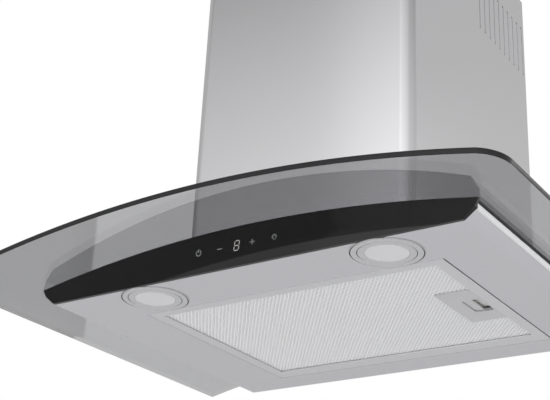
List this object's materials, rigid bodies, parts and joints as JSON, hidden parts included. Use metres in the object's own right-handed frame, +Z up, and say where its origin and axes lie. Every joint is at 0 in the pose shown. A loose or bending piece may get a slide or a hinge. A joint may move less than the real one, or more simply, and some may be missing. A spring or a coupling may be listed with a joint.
{
  "type": "curved glass range hood",
  "caption": "Wall chimney range hood with a curved smoked glass canopy, slim steel body, black touch fascia, grease filter and telescopic duct cover.",
  "frame": {"origin": "centre of the four wall bolts, on the wall plane", "axes": "+Z up, +Y into the wall (the hood's front faces -Y), +X to the right of someone at the hob, facing the wall"},
  "size_m": [0.6, 0.472, 0.4676],
  "materials": {
    "satin_steel": "satin brushed stainless sheet",
    "galvanised": "galvanised sheet, dull zinc",
    "smoked_glass": "grey tinted toughened glass, polished edge",
    "black_glass": "gloss black panel",
    "seal_foam": "dark foam seal",
    "rubber": "black moulded rubber",
    "lamp_metal": "satin grey lamp trim",
    "lamp_lens": "frosted diffuser",
    "filter_aluminium": "satin anodised frame",
    "filter_mesh": "bright expanded aluminium",
    "latch_grey": "satin grey latch",
    "spring_steel": "bright spring wire",
    "black_plastic": "black moulded plastic",
    "grey_plastic": "grey moulded plastic",
    "white_plastic": "white moulded plastic",
    "circuit_board": "green solder mask",
    "motor_steel": "grey painted motor shell",
    "screw_steel": "zinc plated"
  },
  "bodies": {
    "root": {"hood_tray": "satin_steel", "body_top_panel": "satin_steel", "glass_canopy": "smoked_glass", "glass_gasket": "seal_foam", "fascia_panel": "black_glass", "touch_carrier": "black_plastic", "touch_board": "circuit_board", "display_module": "black_plastic", "touch_springs": "spring_steel", "lamp_can_left": "lamp_metal", "lamp_ring_left": "lamp_metal", "lamp_lens_left": "lamp_lens", "lamp_board_left": "circuit_board", "lamp_can_right": "lamp_metal", "lamp_ring_right": "lamp_metal", "lamp_lens_right": "lamp_lens", "lamp_board_right": "circuit_board", "fan_box": "galvanised", "fan_box_deck": "galvanised", "glass_clamp_left": "galvanised", "glass_clamp_right": "galvanised", "glass_clamp_front": "galvanised", "scroll_half_left": "grey_plastic", "scroll_half_right": "grey_plastic", "motor_housing": "motor_steel", "motor_bracket": "galvanised", "motor_grommets": "rubber", "motor_screws": "screw_steel", "outlet_collar": "grey_plastic", "damper_seat": "grey_plastic", "outlet_screws": "screw_steel", "terminal_box": "black_plastic", "terminal_lid": "black_plastic", "terminal_block": "white_plastic", "led_driver": "white_plastic", "capacitor": "grey_plastic", "cable_gland": "black_plastic", "chimney_lower": "satin_steel", "cover_bracket_left": "galvanised", "cover_bracket_right": "galvanised", "cover_screws": "screw_steel", "wall_rail": "galvanised", "hanger_hook": "galvanised", "wall_buffers": "rubber"},
    "filter": {"filter_frame": "filter_aluminium", "filter_face_mesh": "filter_mesh", "filter_core": "filter_mesh", "filter_back_mesh": "filter_mesh", "latch_plate": "latch_grey", "latch_spring": "spring_steel"},
    "latch": {"latch_slider": "latch_grey"},
    "blower_wheel": {"impeller": "black_plastic", "motor_shaft": "spring_steel"},
    "damper_front": {"damper_flap_front": "grey_plastic"},
    "damper_rear": {"damper_flap_rear": "grey_plastic"},
    "chimney_top": {"chimney_upper": "satin_steel", "upper_bracket": "galvanised"}
  },
  "joints": [
    {"name": "filter_swing", "type": "hinge", "parent": "root", "child": "filter", "pos_m": [-0.1605, -0.1895, -0.185], "axis": [0, 1, 0], "range_deg": [0, 75]},
    {"name": "latch_slide", "type": "slide", "parent": "filter", "child": "latch", "axis": [-1, 0, 0], "range_m": [0, 0.006], "stiffness_N_per_m": 300, "springref_m": -0.002, "deforming": ["latch_spring"]},
    {"name": "blower_spin", "type": "hinge", "parent": "root", "child": "blower_wheel", "pos_m": [0, -0.165, -0.055], "axis": [1, 0, 0], "continuous": true},
    {"name": "damper_front_swing", "type": "hinge", "parent": "root", "child": "damper_front", "pos_m": [0, -0.1165, 0.0782], "axis": [-1, 0, 0], "range_deg": [0, 75]},
    {"name": "damper_rear_swing", "type": "hinge", "parent": "root", "child": "damper_rear", "pos_m": [0, -0.1085, 0.0782], "axis": [1, 0, 0], "range_deg": [0, 75]},
    {"name": "chimney_extend", "type": "slide", "parent": "root", "child": "chimney_top", "axis": [0, 0, 1], "range_m": [0, 0.27]}
  ]
}
